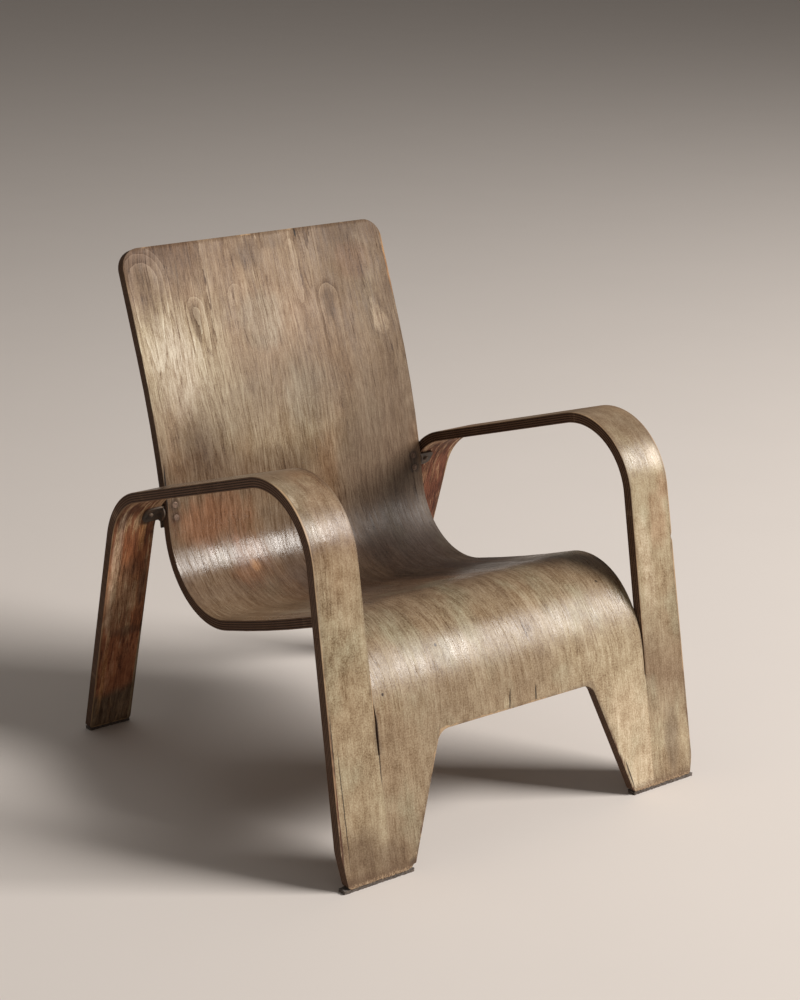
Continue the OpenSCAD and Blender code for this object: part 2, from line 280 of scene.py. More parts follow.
class Side(Enum):
    """The two sides of the chair, with the sign of their X."""

    LEFT = -1
    RIGHT = 1

    @property
    def label(self) -> str:
        """The side's name in the frame's node names."""
        return self.name.lower()


@dataclass(frozen=True)
class Place:
    """An oval on the flat sheet, in millimetres."""

    across: float
    along: float
    half_width: float
    half_length: float

    def reach(self, x: Wire, y: Wire, slope: float = 0.0, wobble: Wire | float = 0.0,
              blunt: float = 0.0) -> Wire:
        """How far a point lies from the oval's middle, squared, where 1 is its edge.

        Args:
            x: the point's place across the sheet.
            y: its place along the sheet.
            slope: how far the oval leans sideways.
            wobble: sideways sway.
            blunt: how much shorter the upper half is.

        Returns:
            The squared distance.
        """
        ahead = y - self.along * MM
        dx = (x - self.across * MM - ahead * slope + wobble) / (self.half_width * MM)
        dy = ahead / (self.half_length * MM)
        if blunt:
            dy = dy + dy.most(0.0) * blunt
        return dx * dx + dy * dy


@dataclass(frozen=True)
class Eye(Place):
    """The middle of a contour figure."""

    depth: float


@dataclass(frozen=True)
class Spot(Place):
    """A stain, patch, split or bare place on a veneer, or a patch of painted shade or sheen."""

    colour: Colour
    strength: float
    slope: float = 0.0
    crisp: bool = False


class Grain:
    """The noises and lines of one veneer, which its colour, gloss and relief share."""

    def __init__(self, s: Shader, eyes: Sequence[Eye]) -> None:
        """Reads them at the sheet's place, swayed along the grain and round the eyes.

        Args:
            s: the shader.
            eyes: the middles of the contour figure.
        """
        self.s = s
        self.x, self.y = x, y = s.sheet_place()
        height = self.patch(4.4, 1.0, 7.7, 1.5, 0.4)
        for eye in eyes:
            height = height + (1.0 - eye.reach(x, y, blunt=4.5)).most(0.0) * eye.depth
        sway = (self.patch(5.0, 2.4, 0.0) - 0.5) * 0.04
        flow = (self.patch(16.0, 8.0, 15.0) - 0.5) * 0.012
        self.u = x + sway + flow + height * 0.02

        self.cloud = self.patch(13.0, 8.0, 4.3, 4.0, 0.65)
        self.mottle = self.patch(62.0, 40.0, 18.0, 4.0, 0.7)
        self.grit = s.noise(s.vector(x, y, 5.3), 420.0, 3.0, 0.65)
        self.pits = s.noise(s.vector(x, y * 0.7, 17.0), 430.0, 1.0).ramp(0.72, 0.80)
        self.streaks = self.fibre(125.0, 8.0, 1.3, 3.0, 0.65)
        self.grain = self.fibre(340.0, 24.0, 2.3, 3.0, 0.65)
        self.thread = self.fibre(210.0, 12.0, 14.0, 2.0, 0.6)
        self.hair = self.fibre(980.0, 55.0, 3.3, 2.0, 0.6)
        self.dashes = self.fibre(280.0, 60.0, 16.0, 3.0, 0.7)

        self.arm = abs(x).ramp(*SLIT) * y.ramp(0.16, 0.24)
        lively = (y.ramp(0.14, 0.34, 0.42, 0.72) + y.ramp(0.6, 0.9, 0.0, 0.18))
        lively = lively * (1.0 - self.arm * y.ramp(0.9, 1.0, 0.5, -0.6)) * (0.8 + self.cloud * 0.4)
        self.lively = lively

        drift = self.fibre(34.0, 7.0, 19.0, 3.0, 0.6)
        jitter = (drift - 0.5) * 0.9 + (self.streaks - 0.5) * 0.2 + (self.dashes - 0.5) * 0.15
        ring = (height * 9.0 + jitter).fraction()
        shown = self.patch(6.0, 3.2, 5.0, 1.0).ramp(0.42, 0.60, 0.3, 1.0)
        shown = shown.most((x * -1.0).ramp(0.06, 0.16) * y.ramp(1.0, 1.12)) * lively
        self.late_wood = (ring ** 1.6) * shown
        self.early_wood = ((1.0 - ring) ** 8.0) * shown
        loops = self.fibre(75.0, 3.6, 6.1, 1.0)
        broken = self.fibre(60.0, 16.0, 6.6, 1.0).ramp(0.50, 0.64)
        self.ridges = abs(loops - 0.5).ramp(0.05, 0.01) * lively
        self.checks = abs(loops - 0.46).ramp(0.016, 0.004) * broken * lively

    def patch(self, across: float, along: float, seed: float, detail: float = 2.0,
              rough: float = 0.5) -> Wire:
        """Noise of so many lumps per metre across and along the sheet."""
        return self.s.noise(self.s.vector(self.x * across, self.y * along, seed), 1.0, detail, rough)

    def fibre(self, across: float, along: float, seed: float, detail: float = 2.0,
              rough: float = 0.5) -> Wire:
        """Noise like patch, swayed with the grain."""
        return self.s.noise(self.s.vector(self.u * across, self.y * along, seed), 1.0, detail, rough)

    def light(self) -> Wire:
        """How light or dark the grain makes the veneer, round 1.

        Returns:
            The factor for the colour.
        """
        y, arm, cloud, grit = self.y, self.arm, self.cloud, self.grit
        bands = self.fibre(40.0, 2.2, 0.3)
        flecks = self.fibre(170.0, 20.0, 13.0, 2.0, 0.6)
        # The ridges' lightening is a painted highlight on the raised grain.
        light = 1.0 + (bands - 0.5) * 0.6 + (cloud - 0.5) * 1.1 + (grit - 0.5) * 0.9 + self.ridges * 0.1
        fine = (self.streaks - 0.5) * 1.1 + (self.thread - 0.5) * 1.1
        fine = fine + (self.grain - 0.5) * 1.5 + (self.dashes - 0.5) * 1.1
        fine = (fine + (self.hair - 0.5) * 1.8) * (0.3 + cloud * 1.2)
        fine = fine + flecks.ramp(0.58, 0.70) * 0.12 - flecks.ramp(0.40, 0.30) * 0.14
        light = light + fine * self.lively
        light = light + (self.mottle - 0.5) * (y.ramp(0.3, 0.9, 1.3, 0.5) + arm * 0.5)
        light = light + (cloud - 0.5) * arm * 0.5 + (grit - 0.5) * y.ramp(0.3, 0.9, 1.0, 0.3)
        figure = (0.11 + y.ramp(1.04, 1.15) * 0.36) * (1.0 - arm * 0.6)
        light = light + 0.04 - (self.late_wood - self.early_wood) * figure
        return (light - self.checks * 0.4 - self.pits * 0.3).most(0.2)


@dataclass(frozen=True)
class FaceVeneer:
    """Old varnished veneer: streaks and contour figure along the sheet, stains, splits and rubbed gloss, with
    painted shade and sheen in places.

    The tones are the colours of five strips, each with its place along the sheet in millimetres.
    """

    name: str
    arm_left: Tones
    arm_right: Tones
    left: Tones
    middle: Tones
    right: Tones
    spots: tuple[Spot, ...] = ()
    eyes: tuple[Eye, ...] = ()
    gloss: float = 0.32
    bare: float = 0.0
    length: float = 1425.0
    bare_tone: Colour = (194, 158, 120)
    warm_tone: Colour = (150, 108, 72)
    moss_tone: Colour = (142, 140, 116)
    torn_tone: Colour = (180, 152, 120)
    dirt_tone: Colour = (84, 64, 48)
    chip_tone: Colour = (188, 156, 120)
    sole_tone: Colour = (98, 76, 58)
    fray_dark: Colour = (92, 64, 48)
    fray_pale: Colour = (190, 166, 136)

    def material(self) -> bpy.types.Material:
        """Builds the material.

        Returns:
            The veneer, read from the flat sheet's own places.
        """
        s = Shader(self.name, Specular_IOR_Level=0.34)
        g = Grain(s, self.eyes)
        rim = self._rim(g.x, g.y)
        ragged = (g.cloud - 0.5) * 0.012 + (g.grain - 0.5) * 0.006
        dirt = (rim + ragged).ramp(0.0065, 0.0005)
        torn = (g.y + (g.grain - 0.5) * 0.012).ramp(0.007, 0.003) * g.grit.ramp(0.42, 0.56)
        colour = s.shade(self._stained(g, self._weathered(g)), g.light())
        colour = self._rubbed(g, colour, rim, dirt)
        colour = s.coat(colour, torn * 0.6, self.torn_tone)
        s.connect(Base_Color=colour, Roughness=self._roughness(g, dirt))
        s.bump(self._relief(g, torn), 0.75, 0.0003)
        return s.material

    def _ground(self, g: Grain) -> Wire:
        """The broad colours: three strips of the middle sheet and one of each arm.

        Args:
            g: the grain.

        Returns:
            The colour before grain.
        """
        s, x, y = g.s, g.x, g.y
        wander = (g.patch(8.0, 5.0, 6.0, 3.0) - 0.5) * 0.09
        place = (y + wander) / (self.length * MM)
        tones = (self.left, self.middle, self.right, self.arm_left, self.arm_right)
        strips = [s.band(place, [(at / self.length, srgb(*tone)) for at, tone in t]) for t in tones]
        colour = s.mix((x + wander).ramp(-0.19, 0.0), strips[0], strips[1])
        colour = s.mix((x + wander).ramp(0.0, 0.19), colour, strips[2])
        colour = s.mix((x * -1.0).ramp(*SLIT), colour, strips[3])
        return s.mix(x.ramp(*SLIT), colour, strips[4])

    def _weathered(self, g: Grain) -> Wire:
        """The ground with warm and mossy patches, and bare wood where the varnish is lost.

        Args:
            g: the grain.

        Returns:
            The colour before the spots.
        """
        s, x, y = g.s, g.x, g.y
        warm = g.patch(9.0, 3.5, 9.0, 3.0).ramp(0.48, 0.72)
        warm = warm * y.ramp(0.2, 0.6, 0.35, 1.0) * y.ramp(1.0, 1.15, 1.0, 0.5)
        colour = s.coat(self._ground(g), warm * (0.22 + g.arm * 0.14), self.warm_tone)
        mossy = g.patch(14.0, 8.0, 11.0, 3.0).ramp(0.48, 0.70)
        colour = s.coat(colour, mossy * y.ramp(0.3, 0.65, 0.34, 0.07), self.moss_tone)
        if self.bare:
            lost = g.fibre(110.0, 11.0, 12.0, 5.0, 0.7)
            lost = (lost + (g.cloud - 0.5) * 0.5).ramp(0.50, 0.58)
            legs = abs(x).ramp(*SLIT, 0.12, 1.0) * y.ramp(0.9, 1.0, 0.3, 1.0) * y.ramp(1.23, 1.28, 1.0, 0.25)
            colour = s.coat(colour, lost * legs * self.bare, self.bare_tone)
        return colour

    def _stained(self, g: Grain, colour: Wire) -> Wire:
        """Lays the spots over the colour: stains, splits and bare places, and patches of painted shade and
        sheen.

        Args:
            g: the grain.
            colour: the colour so far.

        Returns:
            The stained colour.
        """
        s = g.s
        ragged = g.patch(70.0, 22.0, 1.0, 4.0, 0.62) - 0.5
        wobble = (s.noise(s.vector(0.0, g.y * 45.0, 3.0), 1.0, 2.0) - 0.5) * 0.0016
        for spot in self.spots:
            narrow = spot.half_width < 2.0
            reach = spot.reach(g.x, g.y, spot.slope, wobble if narrow else 0.0)
            spread = (1.2, 0.5) if narrow or spot.crisp or spot.strength > 0.85 else (1.9, 0.0)
            inside = (reach + ragged * (0.7 if narrow else 2.6)).ramp(*spread)
            colour = s.coat(colour, inside * spot.strength, spot.colour)
        return colour

    def _rubbed(self, g: Grain, colour: Wire, rim: Wire, dirt: Wire) -> Wire:
        """Lays dirt, chips, worn feet and fray along the cut edges.

        Args:
            g: the grain.
            colour: the colour so far.
            rim: distance to the nearest cut edge, in metres.
            dirt: the share of dirt.

        Returns:
            The colour with its edges worn.
        """
        s = g.s
        chipped = (rim + (g.streaks - 0.5) * 0.010).ramp(0.0026, 0.0008)
        chipped = chipped * (g.cloud + g.arm * 0.14).ramp(0.48, 0.58)
        colour = s.coat(colour, dirt * 0.4, self.dirt_tone)
        colour = s.coat(colour, chipped * 0.6, self.chip_tone)
        sole = (g.y + (g.grit - 0.5) * 0.02 + (g.streaks - 0.5) * 0.012).ramp(0.016, 0.004)
        colour = s.coat(colour, sole * 0.55, self.sole_tone)
        frayed = (rim + (g.streaks - 0.5) * 0.016).ramp(0.005, 0.001) * g.y.ramp(0.16, 0.05)
        colour = s.coat(colour, frayed * g.grain.ramp(0.48, 0.56), self.fray_dark)
        return s.coat(colour, frayed * g.dashes.ramp(0.52, 0.62) * 0.7, self.fray_pale)

    def _roughness(self, g: Grain, dirt: Wire) -> Wire:
        """Dull at the feet, the backrest and the edges, polished in the lap.

        Args:
            g: the grain.
            dirt: the share of dirt at the edges.

        Returns:
            The roughness.
        """
        dull = g.patch(24.0, 12.0, 2.0, 4.0, 0.65)
        scuffed = (g.x - 0.03 + (g.cloud - 0.5) * 0.2).ramp(0.0, 0.1) * g.y.ramp(0.5, 0.62)
        worn = self.gloss + g.y.ramp(0.28, 0.16) * 0.16 + g.y.ramp(0.92, 1.12).most(scuffed) * 0.26
        polished = g.y.ramp(0.70, 0.78) * g.y.ramp(0.90, 0.84)
        rough = worn - polished * 0.07 + (dull - 0.5) * 0.5 + (g.grain - 0.5) * 0.35
        return (rough + g.late_wood * 0.06 + dirt * 0.2).most(0.16)

    @staticmethod
    def _relief(g: Grain, torn: Wire) -> Wire:
        """The height of the fibres, waves, pits and torn ends.

        Args:
            g: the grain.
            torn: where the feet's ends are torn.

        Returns:
            The height.
        """
        wave = g.patch(16.0, 6.0, 8.0)
        relief = g.grain * 1.2 + g.streaks * 1.4 + g.thread + g.dashes * 1.3 + g.ridges * 0.8 + g.hair * 0.5
        return relief + g.mottle * 1.6 - g.pits * 1.2 - g.checks * 0.8 - g.late_wood * 0.3 + wave * 6.0 - torn

    @staticmethod
    def _rim(x: Wire, y: Wire) -> Wire:
        """Distance to the sheet's nearest cut edge.

        Args:
            x: place across the sheet.
            y: place along the sheet.

        Returns:
            The distance in metres.
        """
        across = abs(x)
        toe = ((y - REAR_TOP) / (STRIP_END - REAR_TOP)).most(0.0) * TOE_IN
        foot = (1.0 - y / FRONT_TOP).most(0.0) * FOOT_FLARE
        outer = HALF_WIDTH + foot - toe - across
        above_slit = (SLIT_START - y).most(0.0) * STEEP
        slit = abs(across + toe - SLIT_LINE) + above_slit
        arch = (across - ARCH_FOOT + y * ARCH_SLANT).most(y - ARCH_TOP)
        ends = y.least(STRIP_END - y).least(abs(y - CENTRE_END) + (across - 0.24).most(0.0) * STEEP)
        return outer.least(slit).least(arch).least(ends)


@dataclass(frozen=True)
class EdgeVeneer:
    """The cut edge of one ply: side grain is streaked, end grain is dark and pitted."""

    name: str
    tone: Colour
    worn_tone: Colour
    end_grain: bool

    def material(self) -> bpy.types.Material:
        """Builds the material.

        Returns:
            The ply's edge, dark with varnish and dirt, and rubbed in places.
        """
        s = Shader(self.name, Specular_IOR_Level=0.22)
        x, y = s.sheet_place()
        scale = 900.0 if self.end_grain else 150.0
        grain = s.noise(s.vector(x, y * (0.9 if self.end_grain else 0.15), 2.0), scale, 3.0, 0.65)
        patch = s.noise(s.vector(x * 3.0, y, 5.0), 30.0, 4.0, 0.65)
        worn = patch.ramp(0.56, 0.72) * grain.ramp(0.45, 0.6)
        colour = s.shade(s.mix(worn * 0.8, srgb(*self.tone), srgb(*self.worn_tone)), 0.45 + grain * 1.1)
        s.connect(Base_Color=colour, Roughness=0.58 + patch * 0.3)
        s.bump(grain, 0.8, 0.0003)
        return s.material


@dataclass(frozen=True)
class DarkSteel:
    """Blued bracket steel with scuffs and a trace of rust."""

    name: str = "blued_steel"
    tones: tuple[Colour, Colour] = ((78, 68, 60), (106, 86, 70))
    scuff_tone: Colour = (120, 112, 104)

    def material(self) -> bpy.types.Material:
        """Builds the material."""
        s = Shader(self.name, Specular_IOR_Level=0.5)
        place = s.object_place()
        cloud = s.noise(place, 90.0, 4.0, 0.6)
        scuff = s.noise(place, 420.0, 3.0, 0.7).ramp(0.58, 0.7)
        colour = s.mix(cloud.ramp(0.4, 0.7), *(srgb(*t) for t in self.tones))
        colour = s.coat(colour, scuff * 0.5, self.scuff_tone)
        s.connect(Base_Color=colour, Roughness=0.5 + cloud * 0.25, Metallic=0.35 + scuff * 0.3)
        s.bump(cloud + scuff * 0.4, 0.3, 0.0003)
        return s.material


@dataclass(frozen=True)
class BoltSteel:
    """Worn, dulled fastener steel."""

    name: str = "worn_steel"
    tones: tuple[Colour, Colour] = ((132, 108, 92), (94, 74, 62))
    tarnish_tone: Colour = (58, 46, 38)

    def material(self) -> bpy.types.Material:
        """Builds the material."""
        s = Shader(self.name, Specular_IOR_Level=0.5)
        place = s.object_place()
        cloud = s.noise(place, 260.0, 4.0, 0.6)
        tarnish = s.noise(place, 700.0, 3.0, 0.65).ramp(0.5, 0.66)
        colour = s.mix(cloud.ramp(0.35, 0.7), *(srgb(*t) for t in self.tones))
        colour = s.coat(colour, tarnish * 0.8, self.tarnish_tone)
        s.connect(Base_Color=colour, Roughness=0.5 + cloud * 0.3, Metallic=0.5 - tarnish * 0.4)
        s.bump(cloud, 0.3, 0.0002)
        return s.material


@dataclass(frozen=True)
class PadFelt:
    """Pressed felt, dirty and frayed."""

    name: str = "dirty_felt"
    tones: tuple[Colour, Colour] = ((62, 52, 45), (98, 84, 73))
    fibre_tone: Colour = (140, 124, 110)

    def material(self) -> bpy.types.Material:
        """Builds the material."""
        s = Shader(self.name, Specular_IOR_Level=0.2, Sheen_Weight=0.3, Sheen_Roughness=0.6)
        place = s.object_place()
        fibre = s.noise(place, 1400.0, 4.0, 0.7, 2.0)
        clump = s.noise(place, 240.0, 3.0, 0.6)
        colour = s.mix(clump.ramp(0.3, 0.7), *(srgb(*t) for t in self.tones))
        colour = s.coat(colour, fibre.ramp(0.55, 0.75) * 0.5, self.fibre_tone)
        s.connect(Base_Color=colour, Roughness=0.85 + fibre * 0.15)
        s.bump(fibre + clump, 0.8, 0.0006)
        return s.material


@dataclass(frozen=True)
class PaleFloor:
    """Plain pale studio floor."""

    name: str = "pale_floor"
    tone: Colour = (216, 209, 204)
    lamp_foot: Triple = (KEY_AT[0], KEY_AT[1], 0.0)
    lamp_reach: float = 6.5

    def material(self) -> bpy.types.Material:
        """Builds the material.

        Returns:
            The floor, which darkens under the key lamp so that it doesn't burn out there.
        """
        s = Shader(self.name, Specular_IOR_Level=0.05, Roughness=0.7)
        place = s.object_place()
        mottle = s.noise(place, 3.0, 3.0, 0.6)
        ends = {0: place, 1: self.lamp_foot}
        near = s.node("ShaderNodeVectorMath", {"operation": "DISTANCE"}, ends, "Value")
        calm = ((near / self.lamp_reach) ** 3.0 * 0.825 + 0.425).least(1.0)
        s.connect(Base_Color=s.shade(s.vector(*srgb(*self.tone)[:3]), calm * (0.985 + mottle * 0.03), 0.0))
        return s.material


def deselect() -> None:
    """Leaves nothing selected."""
    bpy.ops.object.select_all(action="DESELECT")


def activate(piece: bpy.types.Object) -> None:
    """Selects one object alone and makes it active."""
    deselect()
    piece.select_set(True)
    bpy.context.view_layer.objects.active = piece


class EditMode:
    """Edit mode on one object, with its bmesh for selecting by place."""

    def __init__(self, piece: bpy.types.Object) -> None:
        """Keeps the object."""
        self.piece = piece

    def __enter__(self) -> "EditMode":
        """Enters edit mode with all of the mesh selected."""
        activate(self.piece)
        bpy.ops.object.mode_set(mode="EDIT")
        bpy.ops.mesh.select_all(action="SELECT")
        return self

    def __exit__(self, *_: object) -> None:
        """Leaves edit mode."""
        bpy.ops.object.mode_set(mode="OBJECT")

    def select(self, kind: str, wanted: Callable[[Element], bool]) -> None:
        """Selects the faces or edges that a test picks, and no other.

        Args:
            kind: FACE or EDGE.
            wanted: says whether one is picked.
        """
        bpy.ops.mesh.select_all(action="DESELECT")
        bpy.ops.mesh.select_mode(type=kind)
        mesh = bmesh.from_edit_mesh(self.piece.data)
        for element in mesh.faces if kind == "FACE" else mesh.edges:
            if wanted(element):
                element.select_set(True)
        bmesh.update_edit_mesh(self.piece.data)


def coordinates(piece: bpy.types.Object) -> np.ndarray:
    """A piece's vertices as rows of x, y and z."""
    flat = np.zeros(len(piece.data.vertices) * 3)
    piece.data.vertices.foreach_get("co", flat)
    return flat.reshape(-1, 3)


def move_to(piece: bpy.types.Object, points: np.ndarray) -> None:
    """Puts a piece's vertices at new points."""
    piece.data.vertices.foreach_set("co", points.reshape(-1))
    piece.data.update()


def copy_of(piece: bpy.types.Object, name: str) -> bpy.types.Object:
    """Copies an object with its own mesh.

    Args:
        piece: the object.
        name: the copy's name.

    Returns:
        The copy, in the scene.
    """
    made = piece.copy()
    made.data = piece.data.copy()
    made.name = made.data.name = name
    bpy.context.scene.collection.objects.link(made)
    return made


def apply_modifier(piece: bpy.types.Object, kind: str, **settings: object) -> None:
    """Adds a modifier and applies it.

    Args:
        piece: the object.
        kind: the modifier's type.
        settings: its settings.
    """
    activate(piece)
    made = piece.modifiers.new(kind.lower(), kind)
    for name, value in settings.items():
        setattr(made, name, value)
    bpy.ops.object.modifier_apply(modifier=made.name)


def smooth(piece: bpy.types.Object, degrees: float) -> None:
    """Shades a piece smooth, apart from edges sharper than an angle."""
    activate(piece)
    bpy.ops.object.shade_smooth_by_angle(angle=math.radians(degrees))


def hand_in(piece: bpy.types.Object, node: str, slot: str, *finishes: bpy.types.Material) -> None:
    """Dresses a finished piece and lets it stand for a node.

    Args:
        piece: the piece.
        node: the frame's node that it replaces.
        slot: the record's material slot; not used.
        finishes: the materials, in the order of the mesh's slots.
    """
    slots = np.zeros(len(piece.data.polygons), dtype=np.int32)
    piece.data.polygons.foreach_get("material_index", slots)
    piece.data.materials.clear()
    for finish in finishes:
        piece.data.materials.append(finish)
    piece.data.polygons.foreach_set("material_index", np.minimum(slots, len(finishes) - 1))
    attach(piece, BODY)
    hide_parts(node)
    log.info("%s: %d faces, for node %s", piece.name, len(piece.data.polygons), node)


@dataclass(frozen=True)
class Run:
    """One straight or bent stretch of a side path."""

    length: float
    radius: float = 0.0
    turn: float = 0.0


def straight(length: float) -> Run:
    """A straight run of a length in millimetres."""
    return Run(length * MM)


def bend(radius: float, turn: float) -> Run:
    """A bend of a radius in millimetres through degrees, positive towards the inner face."""
    return Run(radius * MM * math.radians(abs(turn)), radius * MM, math.radians(turn))


@dataclass(frozen=True)
class SidePath:
    """The way that the sheet's outer face runs in the side view."""

    start: Point
    heading: float
    runs: tuple[Run, ...]

    @property
    def length(self) -> float:
        """The whole length of the path."""
        return sum(run.length for run in self.runs)

    def marks(self) -> list[float]:
        """The distances at which the runs start, with the end of the last."""
        return [sum(run.length for run in self.runs[:i]) for i in range(len(self.runs) + 1)]

    def _go(self, point: Point, heading: float, run: Run, distance: float) -> tuple[Point, float]:
        """Goes a distance along a run.

        Args:
            point: where the run starts.
            heading: its heading there, in radians from upright towards the rear.
            run: the run.
            distance: how far to go.

        Returns:
            The new point and heading.
        """
        if not run.turn:
            ahead = (math.sin(heading), math.cos(heading))
            return (point[0] + distance * ahead[0], point[1] + distance * ahead[1]), heading
        turned = heading + run.turn * distance / run.length
        side = math.copysign(run.radius, run.turn)
        y = point[0] + side * (math.cos(heading) - math.cos(turned))
        z = point[1] + side * (math.sin(turned) - math.sin(heading))
        return (y, z), turned

    def pose(self, distance: float) -> tuple[Point, float]:
        """The point and heading at a distance along the path."""
        point, heading = self.start, self.heading
        for run in self.runs[:-1]:
            if distance < run.length:
                return self._go(point, heading, run, distance)
            point, heading = self._go(point, heading, run, run.length)
            distance -= run.length
        return self._go(point, heading, self.runs[-1], distance)

    def stations(self, finest: float) -> list[float]:
        """The distances at which the flat sheet is cut across so that it bends smoothly.

        Args:
            finest: the angle between two cuts in a bend, in degrees.

        Returns:
            The distances, without the path's ends.
        """
        places: list[float] = []
        for run, start in zip(self.runs, self.marks()):
            steps = max(1, math.ceil(abs(math.degrees(run.turn)) / finest), math.ceil(run.length / 0.06))
            places += [start + run.length * k / steps for k in range(steps)]
        return places[1:]

    def bent(self, distance: float, depth: float) -> Point:
        """The point at a distance along the path and a depth under the outer face."""
        (y, z), heading = self.pose(distance)
        return y + depth * math.cos(heading), z - depth * math.sin(heading)


def share(value: float) -> float:
    """Keeps a value between 0 and 1."""
    return min(max(value, 0.0), 1.0)


def rounded(corners: Sequence[tuple[float, float, float]], steps: int = 10) -> list[Point]:
    """Rounds the corners of a closed outline.

    Args:
        corners: each corner's place and radius.
        steps: edges in each round.

    Returns:
        The outline's points.
    """
    points: list[Point] = []
    for i, (x, y, radius) in enumerate(corners):
        if not radius:
            points.append((x, y))
            continue
        corner = Vector((x, y))
        before = (Vector(corners[i - 1][:2]) - corner).normalized()
        after = (Vector(corners[(i + 1) % len(corners)][:2]) - corner).normalized()
        half = before.angle(after) / 2
        centre = corner + (before + after).normalized() * radius / math.sin(half)
        first = corner + before * radius / math.tan(half) - centre
        last = corner + after * radius / math.tan(half) - centre
        sweep = first.angle_signed(last)
        for k in range(steps + 1):
            turned = first.copy()
            turned.rotate(Matrix.Rotation(-sweep * k / steps, 2))
            points.append(tuple(centre + turned))
    return points


